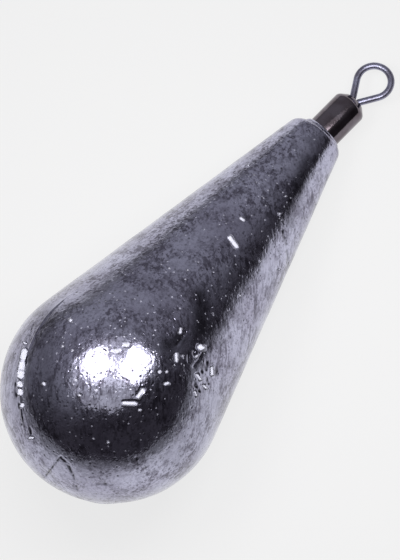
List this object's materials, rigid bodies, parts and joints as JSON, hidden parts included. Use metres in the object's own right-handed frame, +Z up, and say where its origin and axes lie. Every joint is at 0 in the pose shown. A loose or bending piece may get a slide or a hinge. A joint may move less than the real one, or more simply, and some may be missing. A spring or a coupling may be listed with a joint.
{
  "type": "fishing sinker",
  "caption": "Pear-shaped cast lead fishing sinker: a round bulb tapering in a straight cone to a brass barrel swivel cast into its nose, whose wire eye spins on the line.",
  "frame": {"origin": "on the ground that the sinker lies on, under the middle of its box", "axes": "+X from the bulb towards the line eye, +Z up from the ground, +Y across"},
  "size_m": [0.0566, 0.0228, 0.0228],
  "materials": {
    "cast_lead": null,
    "swivel_tube": "drawn tube with a dull darkened nickel finish",
    "swivel_wire": "bent wire with a dull nickel finish"
  },
  "bodies": {
    "weight": {"lead_weight": "cast_lead", "swivel_barrel": "swivel_tube", "anchor_eye": "swivel_wire"},
    "eye": {"line_eye": "swivel_wire"}
  },
  "joints": [
    {"name": "eye_spin", "type": "hinge", "parent": "weight", "child": "eye", "pos_m": [0.0233, -0.00108, 0.00259], "axis": [0.9837, -0.1381, -0.1148], "continuous": true}
  ]
}
